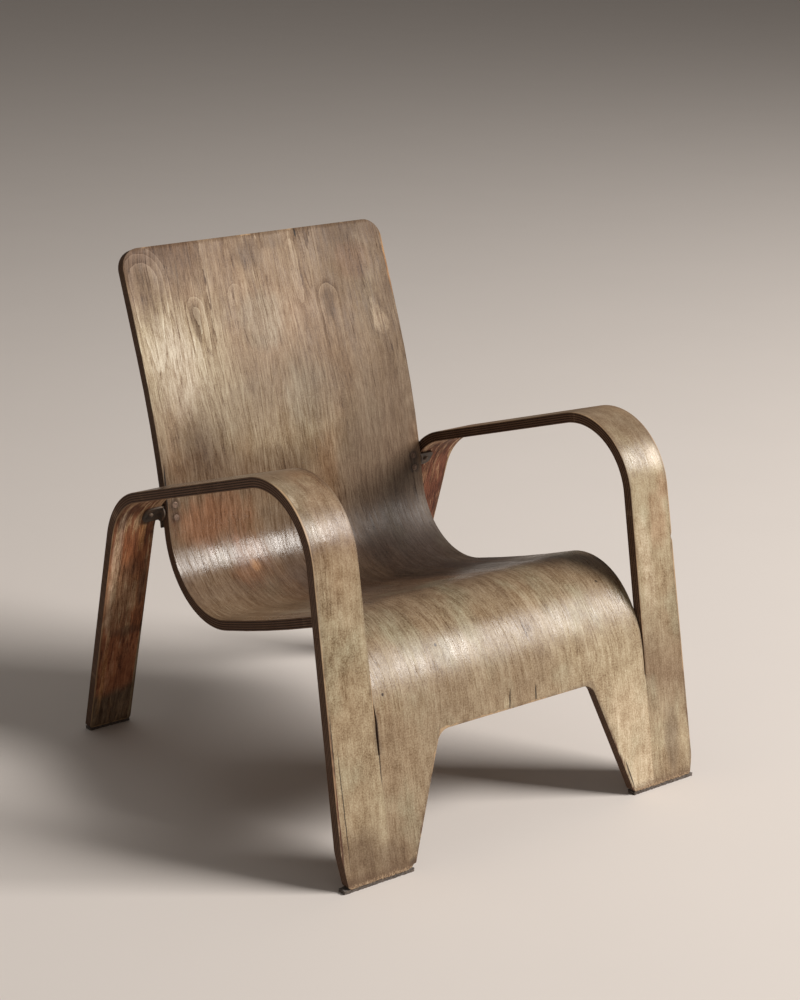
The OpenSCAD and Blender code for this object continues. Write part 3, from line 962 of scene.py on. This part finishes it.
@dataclass
class BentSheet:
    """The laminated sheet: nine plies laid out flat, slit, cut to shape and bent.

    The shears say over which stretches of the legs the deeper plies are shortened or lengthened, so that all
    plies end level at the floor: the distance from the end and the stretch's length. The middle of the front
    and its outer parts, at either side of shear_split, have their own.
    """

    start: Point = (-352.0276 * MM, 4.8 * MM)
    ply_t: float = 1.6 * MM
    ply_step: float = 1.7 * MM
    ply_count: int = 9
    front_foot: float = 320 * MM
    strip_out: float = 315 * MM
    strip_in: float = 242.75 * MM
    centre_front: float = 240.75 * MM
    centre_rear: float = 237 * MM
    slit_start: float = 168 * MM
    arch_height: float = 177 * MM
    arch_top: float = 137.5 * MM
    arch_foot: float = 201.5 * MM
    arch_round: float = 22 * MM
    foot_round: float = 5 * MM
    top_round: float = 31 * MM
    toe_in: float = 8 * MM
    lean: float = math.radians(9.5)
    rear_lean: float = math.radians(17)
    bolt_edge: float = 14.5 * MM
    bolt_pitch: float = 19 * MM
    bracket_rise: float = 32 * MM
    bracket_setback: float = 36 * MM
    screw_edge: float = 15.5 * MM
    bolt_hole: float = 2.7 * MM
    bolt_sink: float = 4.95 * MM
    screw_hole: float = 2.45 * MM
    screw_depth: float = 4 * MM
    parted: float = 190 * MM
    bend_step: float = 2.5
    edge_step: float = 4.0
    worn_right: Triple = (3 * MM, 6 * MM, 26 * MM)
    worn_left: Triple = (7 * MM, 8 * MM, 50 * MM)
    fray_step: float = 3.5 * MM
    fray: float = 1.1 * MM
    foot_shear: tuple[Point, Point] = ((200 * MM, 20 * MM), (160 * MM, 140 * MM))
    shear_split: float = 220 * MM
    rear_shear: Point = (120 * MM, 100 * MM)
    cuts_along: tuple[int, ...] = (-278, -200, -120, -40, 40, 120, 200, 278)
    nick: tuple[Point, ...] = ((353, 0), (356.5, 1.5), (360, 2.1), (364, 0.4), (367, 0))
    arm: SidePath = field(init=False)
    centre: SidePath = field(init=False)

    def __post_init__(self) -> None:
        """Lays out both side paths, with the foot placed so that the chair is centred."""
        legs = (straight(434), bend(114, 97.8), straight(317), bend(118, 55.7))
        probe = SidePath(self.start, self.lean, (*legs, straight(1)))
        (_, height), _ = probe.pose(probe.marks()[4])
        rear = Run((height - self.start[1]) / math.cos(self.rear_lean))
        self.arm = SidePath(self.start, self.lean, (*legs, rear))
        link = straight(2)
        self.centre = SidePath(self.start, self.lean, (
            straight(205.5), bend(155, 100.3 / 3), link, bend(109, 100.3 * 2 / 3), link,
            bend(2735, -4.6), link, bend(114.5, -96.9), link, bend(1250, 12.1), straight(159.5),
        ))
        self.front_y = self.centre.pose(self.slit_start)[0][0]
        self.top_y = self.centre.pose(self.centre.length)[0][0]

    @property
    def slit_line(self) -> float:
        """How far from the middle the slits start."""
        return (self.strip_in + self.centre_front) / 2

    def centre_half(self, along: float) -> float:
        """Half the middle sheet's width at a distance along it."""
        y = self.centre.pose(along)[0][0]
        taper = (y - self.front_y) / (self.top_y - self.front_y)
        return self.centre_front - (self.centre_front - self.centre_rear) * taper

    def outline(self) -> list[Point]:
        """The flat sheet's outline: feet, arch, outer strips, slits and the middle with its top rounds.

        Returns:
            Points across and along the sheet, anticlockwise.
        """
        end, top = self.arm.length, self.centre.length
        leg_top, rear_top = self.arm.marks()[1], self.arm.marks()[4]
        arch = self.arch_height
        low, high = self.slit_start + 5 * MM, top - 40 * MM
        sides = [s for s in self.centre.stations(self.edge_step) if low < s < high]
        rng = np.random.default_rng(7)
        upper = [
            (self.strip_out, leg_top, 0.0), (self.strip_out, rear_top, 0.0),
            (self.strip_out - self.toe_in, end, self.foot_round),
            (self.strip_in - self.toe_in, end, self.foot_round),
            (self.strip_in, rear_top, 0.0), (self.strip_in, self.slit_start, 0.0),
            (self.centre_front, self.slit_start, 0.0),
            *[(self.centre_half(s), s, 0.0) for s in sides],
            (self.centre_half(top), top, self.top_round),
        ]
        nick = [(self._flank(s * MM) - deep * MM, s * MM, 0.0) for s, deep in self.nick]
        corner = (self.arch_top, arch, self.arch_round)
        right = [(0.0, arch, 0.0), corner, *self._foot(rng, *self.worn_right), *nick, *upper]
        left = [*reversed(upper), *reversed(self._foot(rng, *self.worn_left)), corner]
        return rounded(right + [(-x, y, r) for x, y, r in left])

    def _foot(self, rng: np.random.Generator, notch: float, worn_in: float,
              worn_up: float) -> list[tuple[float, float, float]]:
        """The worn lower end of a front leg, frayed by up to a millimetre, from its inner side outwards.

        Args:
            rng: the source of the fray.
            notch: height of the piece broken out of the inner corner.
            worn_in: how far in the outer corner is worn along the foot.
            worn_up: how far up it is worn.

        Returns:
            The outline's corners for the right side.
        """
        inner = self.arch_foot
        slant = (self.arch_foot - self.arch_top) / self.arch_height
        points = [(inner - notch * slant, notch, 0.0), (inner + notch * 0.25, notch * 0.85, 0.0),
                  (inner + notch * 0.7, notch * 0.4, 0.0), (inner + notch * 1.4, notch * 0.15, 0.0)]
        first, last = inner + notch * 1.4 + 3 * MM, self.front_foot - worn_in - 8 * MM
        for x in np.arange(first, last, self.fray_step):
            points.append((float(x), float(rng.random() ** 2 * self.fray), 0.0))
        return [*points, (self.front_foot - worn_in, 0.0, 6 * MM), (self._flank(worn_up), worn_up, 70 * MM)]

    def _flank(self, along: float) -> float:
        """Half the sheet's width on the front leg, at a distance along it."""
        return self.front_foot - (self.front_foot - self.strip_out) * along / self.arm.marks()[1]

    def blank(self) -> bpy.types.Object:
        """Lays out one flat ply and cuts it across wherever it will bend.

        Returns:
            The flat piece in the XY plane, Y along the sheet.
        """
        points = self.outline()
        deselect()
        bpy.ops.mesh.primitive_circle_add(vertices=len(points), radius=1.0, fill_type="NGON")
        piece = bpy.context.object
        piece.name = "blank"
        move_to(piece, np.array([(x, y, 0.0) for x, y in points]))
        with EditMode(piece) as edit:
            bpy.ops.mesh.normals_make_consistent(inside=False)
            bpy.ops.mesh.bisect(plane_co=(0, self.parted, 0), plane_no=(0, 1, 0), threshold=1e-7)
            for path, outer in ((self.arm, True), (self.centre, False)):
                for place in path.stations(self.bend_step):
                    self._cut_across(edit, place, outer)
            for x in self.cuts_along:
                bpy.ops.mesh.select_all(action="SELECT")
                bpy.ops.mesh.bisect(plane_co=(x * MM, 0, 0), plane_no=(1, 0, 0), threshold=1e-7)
        if sum(p.normal.z for p in piece.data.polygons) < 0:
            piece.data.flip_normals()
        return piece

    def _cut_across(self, edit: EditMode, place: float, outer: bool) -> None:
        """Cuts the outer strips or the middle across at a distance along the sheet.

        Args:
            edit: edit mode on the flat piece.
            place: the distance.
            outer: whether the outer strips are cut.
        """
        if place <= self.parted:
            return

        def picked(face: Element) -> bool:
            centre = face.calc_center_median()
            on_strip = abs(centre.x) > self.slit_line - 3 * MM and self._is_arm(face)
            return centre.y > self.parted and on_strip == outer

        edit.select("FACE", picked)
        bpy.ops.mesh.bisect(plane_co=(0, place, 0), plane_no=(0, 1, 0), threshold=1e-7)

    def _is_arm(self, face: bmesh.types.BMFace) -> bool:
        """Whether a face above the slits' ends belongs to an outer strip."""
        return max(abs(v.co.x) for v in face.verts) > self.strip_in + 2 * MM

    def ply(self, blank: bpy.types.Object, index: int, name: str) -> bpy.types.Object:
        """Makes one ply from the flat piece.

        Args:
            blank: the flat piece.
            index: the ply's number, from 0 at the outer face.
            name: the piece's name.

        Returns:
            The bent ply. Its slots are face, side edge and end edge.
        """
        piece = copy_of(blank, name)
        for slot in ("face", "side", "end"):
            piece.data.materials.append(None)
        apply_modifier(piece, "SOLIDIFY", thickness=self.ply_t, offset=-1.0, material_offset_rim=1)
        self._drill(piece, index)
        self._soften_rim(piece, index)
        for face in piece.data.polygons:
            if abs(face.normal.z) > 0.5:
                face.material_index = 0
            else:
                face.material_index = 2 if abs(face.normal.y) > 0.7 else 1
        flat = coordinates(piece)
        self._lay_uv(piece, flat)
        self._bend(piece, flat, index * self.ply_step)
        smooth(piece, 32)
        return piece

    @staticmethod
    def _lay_uv(piece: bpy.types.Object, flat: np.ndarray) -> None:
        """Gives each vertex its place on the flat sheet, in metres.

        Args:
            piece: the ply.
            flat: its vertices before it is bent.
        """
        layer = piece.data.uv_layers.get(UV_NAME) or piece.data.uv_layers.new(name=UV_NAME)
        corners = np.zeros(len(piece.data.loops), dtype=np.int32)
        piece.data.loops.foreach_get("vertex_index", corners)
        layer.data.foreach_set("uv", flat[corners][:, :2].reshape(-1))
        for other in [u for u in piece.data.uv_layers if u.name != UV_NAME]:
            piece.data.uv_layers.remove(other)

    def _drill(self, piece: bpy.types.Object, index: int) -> None:
        """Drills the holes for the bolts and the arm screws.

        Args:
            piece: the flat ply.
            index: its number.
        """
        near = index * self.ply_step
        back = self.centre.marks()[8] + self.bracket_rise
        edge = self.centre_half(back) - self.bolt_edge
        half = self.bolt_pitch / 2
        holes = [(side.value * edge, back + k * half, self.bolt_hole) for side in Side for k in (-1, 1)]
        if near > self.screw_depth:
            arm = self.arm.marks()[4] - self.bracket_setback
            holes += [(side.value * (self.strip_in + self.screw_edge), arm, self.screw_hole) for side in Side]
        cutters = []
        for x, y, radius in holes:
            deselect()
            sunk = index < 2 and radius == self.bolt_hole
            wide = max(radius, self.bolt_sink - near) if sunk else radius
            deep = max(radius, wide - self.ply_t) if sunk else radius
            grow = (wide - deep) / self.ply_t * MM
            bpy.ops.mesh.primitive_cone_add(vertices=32, radius1=deep - grow, radius2=wide + grow,
                                            depth=self.ply_t + 2 * MM, location=(x, y, -self.ply_t / 2))
            cutters.append(bpy.context.object)
        activate(cutters[0])
        for cutter in cutters:
            cutter.select_set(True)
        bpy.ops.object.join()
        drill = bpy.context.object
        apply_modifier(piece, "BOOLEAN", operation="DIFFERENCE", object=drill, solver="EXACT")
        bpy.data.objects.remove(drill)

    def _soften_rim(self, piece: bpy.types.Object, index: int) -> None:
        """Rubs the outer edge of the two face plies a little round.

        Args:
            piece: the flat ply.
            index: its number.
        """
        if 0 < index < self.ply_count - 1:
            return
        level = 0.0 if index == 0 else -self.ply_t

        def outer_rim(edge: Element) -> bool:
            on_face = all(abs(v.co.z - level) < 0.01 * MM for v in edge.verts)
            return on_face and len(edge.link_faces) == 2 and edge.calc_face_angle(0.0) > 1.0

        with EditMode(piece) as edit:
            edit.select("EDGE", outer_rim)
            bpy.ops.mesh.bevel(offset=0.5 * MM, segments=1, affect="EDGES", clamp_overlap=True)

    def _bend(self, piece: bpy.types.Object, flat: np.ndarray, near: float) -> None:
        """Bends a flat ply along the side paths, with its feet's ends cut level with the floor.

        Args:
            piece: the ply.
            flat: its vertices, flat.
            near: the depth of its outer face under the sheet's.
        """
        bent = flat.copy()
        end = self.arm.length
        for row, (x, along, z) in enumerate(flat):
            depth = near - z
            outer = abs(x) > self.slit_line or along > self.centre.length + 1e-6
            if not outer and along > self.slit_start and abs(x) > self.centre_half(along) + 1e-6:
                outer = True
            path = self.arm if outer else self.centre
            level, span = self.foot_shear[0] if abs(x) < self.shear_split else self.foot_shear[1]
            along += depth * math.tan(self.lean) * share((level - along) / span)
            if outer:
                level, span = self.rear_shear
                along -= depth * math.tan(self.rear_lean) * share((along - end + level) / span)
            y, height = path.bent(along, depth)
            bent[row] = (x, y, height)
        move_to(piece, bent)


@dataclass
class SideFixings:
    """Bracket, bolts, nuts and arm screw of one side."""

    side: Side
    edge_round: float = 0.25 * MM

    def build(self, frame: dict, dark: bpy.types.Material, bright: bpy.types.Material) -> None:
        """Makes each fixing from its node, with softened edges.

        Args:
            dark: the bracket's finish.
            bright: the fasteners' finish.
        """
        label = self.side.label
        kinds = (("bracket", "bracket_steel", dark), ("back_bolts", "fastener_steel", bright),
                 ("back_nuts", "fastener_steel", bright), ("arm_screw", "fastener_steel", dark))
        for kind, slot, finish in kinds:
            node = f"{kind}_{label}"
            piece = copy_of(frame["nodes"][node], f"{kind}_{label}_piece")
            piece.parent = None
            for key in list(piece.keys()):
                del piece[key]
            with EditMode(piece):
                bpy.ops.mesh.remove_doubles(threshold=1e-5)
                bpy.ops.mesh.normals_make_consistent(inside=False)
            apply_modifier(piece, "BEVEL", width=self.edge_round, segments=2, limit_method="ANGLE",
                           angle_limit=math.radians(40))
            smooth(piece, 35)
            hand_in(piece, node, slot, finish)


@dataclass
class FeltPads:
    """The four pads under the feet, pressed flat and frayed at their edges.

    The cuts give, for each axis, the length of the edges to be cut and how many cuts they get.
    """

    fray: float = 1.6 * MM
    cuts: tuple[tuple[int, float, int], ...] = ((0, 20 * MM, 60), (1, 5 * MM, 12), (2, 3 * MM, 4))

    def build(self, finish: bpy.types.Material) -> None:
        """Makes the pads, each with its own fray.

        Args:
            finish: the felt.
        """
        rng = np.random.default_rng(41)
        for place in ("front", "rear"):
            for side in Side:
                node = f"pad_{place}_{side.label}"
                low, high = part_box(node)
                deselect()
                bpy.ops.mesh.primitive_cube_add(size=1.0, location=(low + high) / 2)
                piece = bpy.context.object
                piece.name = f"{node}_piece"
                piece.scale = high - low
                bpy.ops.object.transform_apply(location=True, rotation=True, scale=True)
                with EditMode(piece) as edit:
                    for axis, longer, cuts in self.cuts:
                        edit.select("EDGE", lambda e: abs((e.verts[0].co - e.verts[1].co)[axis]) > longer)
                        bpy.ops.mesh.subdivide(number_cuts=cuts)
                self._fray(piece, low, high, rng)
                smooth(piece, 60)
                hand_in(piece, node, "pad_felt", finish)

    def _fray(self, piece: bpy.types.Object, low: Vector, high: Vector, rng: np.random.Generator) -> None:
        """Pulls the pad's sides in unevenly.

        Args:
            piece: the pad.
            low: its node's lowest corner.
            high: its node's highest corner.
            rng: the source of the uneven pulls.
        """
        points = coordinates(piece)
        middle = (np.array(low) + np.array(high)) / 2
        for axis in (0, 1):
            outer = np.abs(np.abs(points[:, axis] - middle[axis]) - (high - low)[axis] / 2) < 1e-6
            pull = rng.random(int(outer.sum())) ** 1.6 * self.fray
            points[outer, axis] -= np.sign(points[outer, axis] - middle[axis]) * pull
        inner = (points[:, 2] > low.z + 1e-5) & (points[:, 2] < high.z - 1e-5)
        points[inner, 2] += (rng.random(int(inner.sum())) - 0.5) * 0.3 * MM
        move_to(piece, points)


@dataclass(frozen=True)
class Lamp:
    """A square soft lamp: where it hangs, the point that it faces, its side in metres and its watts."""

    name: str
    place: Triple
    aim: Triple
    size: float
    power: float
    tint: Colour = (1.0, 0.965, 0.92)

    def hang(self) -> None:
        """Hangs the lamp."""
        data = bpy.data.lights.new(self.name, "AREA")
        data.shape, data.size, data.energy, data.color = "SQUARE", self.size, self.power, self.tint
        lamp = bpy.data.objects.new(self.name, data)
        bpy.context.scene.collection.objects.link(lamp)
        facing = (Vector(self.aim) - Vector(self.place)).to_track_quat("-Z", "Y")
        lamp.matrix_world = Matrix.Translation(self.place) @ facing.to_matrix().to_4x4()


@dataclass
class Studio:
    """Floor, soft light from the upper right and the camera of the photograph."""

    camera_at: Triple = (-1.88602, -2.51078, 1.35731)
    yaw: float = 37.506
    pitch: float = -16.941
    roll: float = 0.122
    lens: float = 80.491
    key: Lamp = Lamp("key", KEY_AT, (0.0, -0.05, 0.38), 3.2, 883.0)
    top: Lamp = Lamp("top", (0.4, 0.6, 3.2), (0.0, 0.0, 0.4), 2.4, 9.0)
    world_tint: Colour = (1.0, 0.92, 0.84)
    world_light: float = 0.15
    world_seen: float = 0.4
    floor_size: float = 36.0
    floor_at: Triple = (-5.19, 5.83, 0.0)
    floor_turn: float = 41.7

    def build(self) -> None:
        """Makes the camera, floor, lamps and world."""
        self._camera()
        self._floor()
        self.key.hang()
        self.top.hang()
        self._world()

    def _camera(self) -> None:
        """Puts the camera where the photograph was taken from."""
        yaw, pitch, roll = (math.radians(a) for a in (self.yaw, self.pitch, self.roll))
        ahead = Vector((math.sin(yaw) * math.cos(pitch), math.cos(yaw) * math.cos(pitch), math.sin(pitch)))
        level = Vector((math.cos(yaw), -math.sin(yaw), 0.0))
        up = level.cross(ahead)
        right = level * math.cos(roll) + up * math.sin(roll)
        upright = up * math.cos(roll) - level * math.sin(roll)
        data = bpy.data.cameras.new("camera")
        data.sensor_fit = "VERTICAL"
        data.sensor_height = 36.0
        data.lens = self.lens
        camera = bpy.data.objects.new("camera", data)
        bpy.context.scene.collection.objects.link(camera)
        turned = Matrix((right, upright, -ahead)).transposed().to_4x4()
        camera.matrix_world = Matrix.Translation(self.camera_at) @ turned
        bpy.context.scene.camera = camera

    def _floor(self) -> None:
        """Lays the floor, which ends where the key lamp's light ends."""
        deselect()
        bpy.ops.mesh.primitive_plane_add(size=self.floor_size, location=self.floor_at,
                                         rotation=(0.0, 0.0, math.radians(self.floor_turn)))
        bpy.ops.object.transform_apply(location=True, rotation=True, scale=True)
        floor = bpy.context.object
        floor.name = "floor"
        floor.data.materials.append(PaleFloor().material())

    def _world(self) -> None:
        """Lights the room evenly, and shows the camera a brighter room past the floor."""
        world = bpy.data.worlds.new("studio")
        world.use_nodes = True
        nodes, links = world.node_tree.nodes, world.node_tree.links
        back, path = nodes["Background"], nodes.new("ShaderNodeLightPath")
        strength = nodes.new("ShaderNodeMapRange")
        back.inputs["Color"].default_value = (*self.world_tint, 1.0)
        strength.inputs["To Min"].default_value = self.world_light
        strength.inputs["To Max"].default_value = self.world_seen
        links.new(path.outputs["Is Camera Ray"], strength.inputs["Value"])
        links.new(strength.outputs["Result"], back.inputs["Strength"])
        bpy.context.scene.world = world
        bpy.context.scene.view_settings.view_transform = "Standard"


# The first colour is a painted sheen for the backrest's left.
PAINTED_SHEEN = (198, 184, 168)
CREAM = (204, 184, 158)
LINEN = (182, 162, 134)
STRAW = (168, 150, 122)
SAND = (153, 135, 108)
FAWN = (144, 118, 94)
TAN = (138, 114, 90)
WALNUT = (108, 84, 65)
DUN = (138, 118, 93)
BARK = (118, 97, 75)
UMBER = (98, 77, 58)
PEAT = (80, 61, 48)
SOOT = (54, 41, 33)
INK = (30, 22, 17)
ASH = (142, 134, 116)
RUST = (134, 82, 58)
HONEY = (196, 144, 92)
RUSSET = (116, 68, 46)
MAHOGANY = (94, 52, 36)
CHESTNUT = (144, 88, 56)
TEAK = (172, 112, 72)


def each(kind: Callable[..., Kind], rows: Sequence[tuple]) -> tuple[Kind, ...]:
    """Makes one of a kind from each row of its fields."""
    return tuple(kind(*row) for row in rows)


OUTER_FACE = FaceVeneer(
    name="outer_veneer",
    arm_left=((0, BARK), (90, SAND), (200, SAND), (340, SAND), (434, DUN), (470, BARK), (560, BARK),
              (700, UMBER), (1000, UMBER)),
    arm_right=((0, DUN), (50, STRAW), (160, BARK), (310, SAND), (460, SAND), (550, BARK), (1000, UMBER)),
    # All three strips are darker from 430 to 940, most on the right from 600 to 740: painted shade in the lap
    # hollow, with its dirt.
    left=((0, BARK), (90, DUN), (180, DUN), (300, DUN), (430, UMBER), (620, BARK), (740, UMBER), (940, UMBER),
          # From 1060 to 1130 the left strip is lighter: a painted sheen.
          (1060, STRAW), (1130, STRAW), (1190, TAN), (1250, WALNUT)),
    middle=((0, DUN), (200, DUN), (300, DUN), (430, UMBER), (600, PEAT), (740, PEAT), (900, BARK), (960, DUN),
            (1040, BARK), (1130, FAWN), (1200, TAN)),
    right=((0, LINEN), (120, LINEN), (190, STRAW), (300, DUN), (430, UMBER), (600, SOOT), (740, SOOT),
           (900, UMBER), (1080, BARK), (1180, BARK), (1250, UMBER)),
    spots=each(Spot, (
        # top of the backrest; the wide pale patch on the left is a painted sheen
        (-203, 1195, 20, 44, BARK, 0.4), (-180, 1090, 42, 70, PAINTED_SHEEN, 0.36),
        (-132, 1147, 9, 32, UMBER, 0.5, 0.0, True), (-57, 1168, 9, 24, CREAM, 0.25),
        (202, 1101, 16, 17, CREAM, 0.22, 0.0, True), (198, 1113, 12, 18, CREAM, 0.22, 0.0, True),
        (193, 1127, 7, 18, CREAM, 0.2, 0.0, True),
        # stains of the backrest
        (-18, 1238, 26, 24, UMBER, 0.5), (30, 1256, 22, 16, UMBER, 0.55),
        (112, 1142, 12, 24, UMBER, 0.55, 0.0, True), (170, 1207, 34, 26, RUST, 0.25),
        (168, 1215, 40, 30, BARK, 0.35), (-18, 1135, 42, 42, ASH, 0.35), (50, 1002, 46, 56, ASH, 0.25),
        (150, 930, 64, 44, UMBER, 0.55), (-60, 905, 80, 34, UMBER, 0.5), (62, 1225, 2.5, 44, CREAM, 0.3),
        # round the bolts
        (-226, 874, 12, 24, PEAT, 0.4), (223, 874, 12, 24, UMBER, 0.55), (-223.4, 864.9, 9, 9, SOOT, 0.75),
        (-223.4, 883.9, 9, 9, SOOT, 0.75), (223.4, 864.9, 9, 9, SOOT, 0.75), (223.4, 883.9, 9, 9, SOOT, 0.75),
        # lap; the two wide soot patches on the right are painted shade in the hollow, with its dirt
        (-109, 768, 7, 11, HONEY, 0.3), (-118, 776, 34, 44, CHESTNUT, 0.25), (-150, 800, 16, 30, ASH, 0.3),
        (-160, 850, 60, 40, CHESTNUT, 0.35), (110, 700, 130, 60, SOOT, 0.5), (170, 640, 90, 60, SOOT, 0.5),
        # front roll, pin marks and the ends of the slits
        (6, 330, 8, 22, DUN, 0.4), (40, 350, 6, 20, UMBER, 0.4), (-222.6, 246, 2.4, 3, SOOT, 0.95),
        (-114, 292, 2, 2.4, SOOT, 0.9), (199, 322, 2, 2.4, SOOT, 0.9), (-12.5, 191, 1.2, 16, INK, 1.0, 0.15),
        (-19, 186, 4.5, 10, STRAW, 0.7), (34.5, 189, 1.2, 14, INK, 1.0, 0.1),
        # feet, splinters and the left arm's front bend
        (283, 60, 14, 44, PEAT, 0.5), (-315, 170, 0.9, 80, INK, 0.9, 0.018), (-316.5, 70, 1.4, 55, INK, 1.0),
        (-317, 150, 1.9, 130, MAHOGANY, 0.9), (-306.8, 110, 0.9, 95, INK, 0.8, -0.008),
        (-285, 45, 26, 30, UMBER, 0.5), (-240, 26, 26, 20, UMBER, 0.5), (-290, 8, 30, 9, UMBER, 0.6),
        (-265, 566, 12, 14, SAND, 0.3), (-276, 525, 34, 44, ASH, 0.2), (-308, 530, 3, 12, CREAM, 0.3),
        (196, 30, 1.5, 24, SOOT, 0.9, -0.3),
        # cracks and chipped edges; the dark lines along both slits at 205 are painted shade in the gaps
        (75, 1262, 1.8, 9, INK, 0.95), (-236, 905, 1.9, 42, INK, 0.95, 0.06), (-203, 8, 7, 8, SOOT, 0.8),
        (-100, 1190, 1.2, 34, UMBER, 0.7, 0.05), (-150, 1215, 1.2, 40, UMBER, 0.6, 0.12),
        (236, 1205, 2.2, 56, HONEY, 0.6), (228, 1150, 4, 24, UMBER, 0.6), (-241.7, 205, 2.5, 44, INK, 1.0),
        (-241.9, 150, 0.9, 26, SOOT, 0.9), (241.7, 205, 1.8, 44, INK, 1.0),
        # right arm's front bend
        (294, 534, 24, 34, UMBER, 0.4), (300, 480, 14, 20, CREAM, 0.35), (306, 434, 12, 22, RUST, 0.3),
        (258, 360, 12, 40, CREAM, 0.3), (265, 300, 12, 40, CREAM, 0.25), (290, 390, 18, 40, CHESTNUT, 0.25),
        # front panel
        (-160, 60, 12, 30, STRAW, 0.3), (120, 240, 14, 40, STRAW, 0.3), (-130, 215, 60, 40, BARK, 0.35),
        (0, 225, 60, 34, BARK, 0.3),
    )),
    eyes=each(Eye, (
        (-207, 1215, 44, 300, 0.34), (-132, 1160, 19, 150, 0.16), (-57, 1175, 16, 120, 0.12),
        (112, 1155, 24, 170, 0.18), (62, 1240, 20, 160, 0.14), (-20, 1050, 26, 170, 0.14),
        (60, 990, 30, 150, 0.14), (-70, 930, 30, 120, 0.12), (120, 250, 30, 120, 0.12),
    )),
)

INNER_FACE = FaceVeneer(
    name="inner_veneer",
    arm_left=((0, BARK), (434, UMBER), (1000, RUSSET), (1080, CHESTNUT), (1120, TEAK), (1180, TEAK),
              (1250, CHESTNUT), (1290, CHESTNUT), (1345, CHESTNUT), (1362, UMBER), (1421, UMBER)),
    arm_right=((0, BARK), (434, UMBER), (1000, RUSSET), (1080, MAHOGANY), (1160, MAHOGANY), (1300, RUSSET),
               (1421, PEAT)),
    left=((0, DUN), (420, BARK), (850, UMBER), (1268, DUN)),
    middle=((0, DUN), (420, BARK), (850, BARK), (1268, FAWN)),
    right=((0, BARK), (420, UMBER), (850, UMBER), (1268, DUN)),
    spots=each(Spot, (
        (-302, 1120, 8, 110, CREAM, 0.5), (-262, 1068, 6, 26, HONEY, 0.5), (-250, 1160, 7, 50, PEAT, 0.6),
        (-268, 1242, 30, 9, SOOT, 0.45), (-297, 1330, 4, 60, HONEY, 0.4), (-275, 1325, 24, 24, CHESTNUT, 0.4),
        (-270, 1125, 22, 16, CHESTNUT, 0.6), (-286, 1178, 28, 60, STRAW, 0.42), (-258, 1040, 9, 9, SOOT, 0.8),
        (286, 1100, 20, 110, RUSSET, 0.7),
    )),
    gloss=0.42,
    bare=0.7,
)


def build_sheet() -> None:
    """Builds the nine plies and dresses them."""
    sheet = BentSheet()
    blank = sheet.blank()
    log.info("flat sheet: %d faces", len(blank.data.polygons))
    outer, inner = OUTER_FACE.material(), INNER_FACE.material()
    side_grain = EdgeVeneer("side_grain", (116, 88, 69), (160, 130, 104), False).material()
    end_grain = EdgeVeneer("end_grain", (60, 44, 36), (104, 82, 66), True).material()
    names = ("ply_1_face", "ply_2_cross", "ply_3_long", "ply_4_cross", "ply_5_core",
             "ply_6_cross", "ply_7_long", "ply_8_cross", "ply_9_face")
    for index, node in enumerate(names):
        piece = sheet.ply(blank, index, f"{node}_piece")
        cross = index % 2 == 1
        edges = (end_grain, side_grain) if cross else (side_grain, end_grain)
        slot = {"face": "face_veneer", "cross": "cross_veneer"}.get(node.split("_")[2], "long_veneer")
        hand_in(piece, node, slot, outer if index < 5 else inner, *edges)
    bpy.data.objects.remove(blank)


def main() -> None:
    logging.basicConfig(level=logging.INFO, format="%(message)s")
    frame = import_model()
    Studio().build()
    build_sheet()
    dark, bright = DarkSteel().material(), BoltSteel().material()
    for side in Side:
        SideFixings(side).build(frame, dark, bright)
    FeltPads().build(PadFelt().material())


if __name__ == "__main__":
    main()
